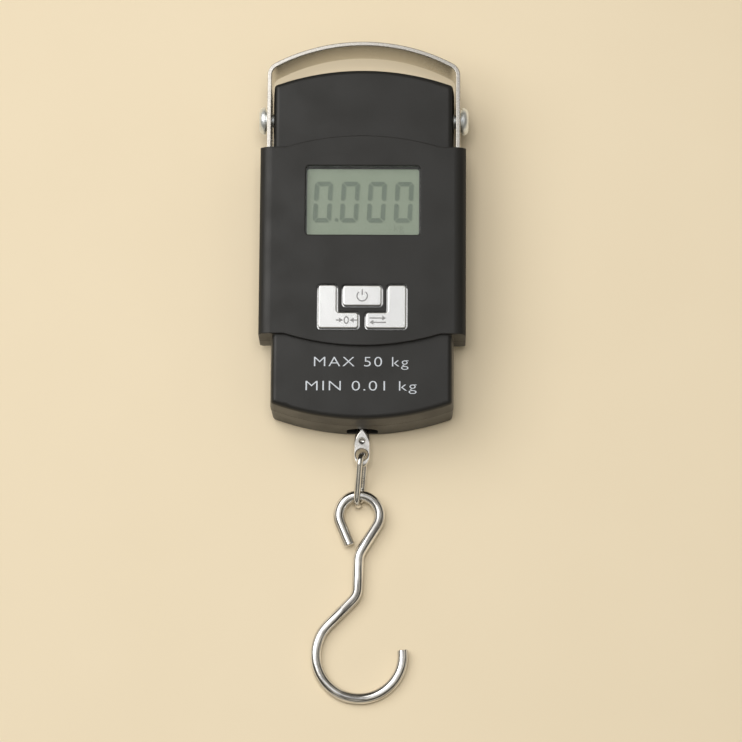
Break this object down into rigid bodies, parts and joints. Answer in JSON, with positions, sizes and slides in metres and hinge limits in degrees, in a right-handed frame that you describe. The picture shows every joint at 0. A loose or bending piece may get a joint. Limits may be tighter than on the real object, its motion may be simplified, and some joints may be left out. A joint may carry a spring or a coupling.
{
  "type": "digital hanging fish scale",
  "caption": "Black hand-held electronic hanging scale with a display, push keys, a sliding strap bail at the top and a swivelling wire hook on a chain link.",
  "frame": {"origin": "middle of the flat back face of the case, which the scale lies on", "axes": "+Y towards the bail along the scale's length, +X to the right of the display, +Z out of the front face"},
  "size_m": [0.0716, 0.2253, 0.0284],
  "materials": {
    "case_black": "moulded ABS, fine spark texture",
    "hook_chrome": "nickel-chrome plated wire",
    "bail_steel": "bright nickel plated strap",
    "screw_zinc": "zinc plated",
    "key_silver": "vacuum metallised plastic",
    "window_clear": "clear polystyrene",
    "lcd_green": "polariser over glass",
    "lcd_white": "white moulding",
    "label_grey": "satin film",
    "board_green": "solder mask",
    "part_black": "moulded",
    "can_steel": "plated sheet steel",
    "cell_wrap": "printed sleeve",
    "contact_nickel": "nickel plated",
    "lead_red": "PVC",
    "lead_black": "PVC",
    "lead_white": "PVC",
    "beam_aluminium": "milled",
    "gauge_foil": "polyimide foil"
  },
  "bodies": {
    "case": {"front_shell": "case_black", "rear_shell": "case_black", "case_screws": "screw_zinc", "rear_label": "label_grey", "lcd_window": "window_clear", "lcd_panel": "lcd_green", "lcd_frame": "lcd_white", "zebra_strips": "part_black", "lcd_reflector": "lcd_white", "main_board": "board_green", "board_screws": "screw_zinc", "chip_blob": "part_black", "capacitors": "part_black", "crystal": "can_steel", "battery_cell_lower": "cell_wrap", "battery_cell_upper": "cell_wrap", "contact_springs": "contact_nickel", "contact_plates": "contact_nickel", "battery_lead_red": "lead_red", "battery_lead_black": "lead_black", "gauge_leads": "lead_white", "load_yoke": "can_steel", "load_cell": "beam_aluminium", "strain_gauges": "gauge_foil", "yoke_bolt": "screw_zinc", "yoke_spacer": "screw_zinc", "power_switch": "part_black", "tare_switch": "part_black", "unit_switch": "part_black", "side_screw_left": "screw_zinc", "side_screw_right": "screw_zinc", "side_washer_left": "screw_zinc", "side_washer_right": "screw_zinc", "yoke_nut_left": "screw_zinc", "yoke_nut_right": "screw_zinc"},
    "bail": {"bail": "bail_steel"},
    "battery_door": {"battery_door": "case_black"},
    "power_key": {"power_key": "key_silver", "power_plunger": "part_black"},
    "tare_key": {"tare_key": "key_silver", "tare_plunger": "part_black"},
    "unit_key": {"unit_key": "key_silver", "unit_plunger": "part_black"},
    "hook_eye": {"hook_eye": "hook_chrome", "swivel_nut": "screw_zinc", "swivel_washer": "screw_zinc"},
    "chain_link": {"chain_link": "hook_chrome"},
    "hook": {"hook": "hook_chrome"}
  },
  "joints": [
    {"name": "bail_slide", "type": "slide", "parent": "case", "child": "bail", "axis": [0, 1, 0], "range_m": [0, 0.03]},
    {"name": "power_press", "type": "slide", "parent": "case", "child": "power_key", "axis": [0, 0, -1], "range_m": [0, 0.0008], "stiffness_N_per_m": 700, "springref_m": -0.0001},
    {"name": "tare_press", "type": "slide", "parent": "case", "child": "tare_key", "axis": [0, 0, -1], "range_m": [0, 0.0008], "stiffness_N_per_m": 700, "springref_m": -0.0001},
    {"name": "unit_press", "type": "slide", "parent": "case", "child": "unit_key", "axis": [0, 0, -1], "range_m": [0, 0.0008], "stiffness_N_per_m": 700, "springref_m": -0.0001},
    {"name": "battery_door_tilt", "type": "hinge", "parent": "case", "child": "battery_door", "pos_m": [0, 0.0301, 0.0001], "axis": [1, 0, 0], "range_deg": [0, 35]},
    {"name": "eye_swivel", "type": "hinge", "parent": "case", "child": "hook_eye", "pos_m": [0, -0.055, 0.008], "axis": [0, 1, 0], "continuous": true},
    {"name": "link_swing", "type": "hinge", "parent": "hook_eye", "child": "chain_link", "pos_m": [0, -0.073, 0.008], "axis": [0.9633, -0.1606, 0.2149], "range_deg": [-100, 60]},
    {"name": "hook_swing", "type": "hinge", "parent": "chain_link", "child": "hook", "pos_m": [-0.0008, -0.0899, 0.0038], "axis": [0, -0.0313, 0.9995], "range_deg": [-60, 60]}
  ]
}
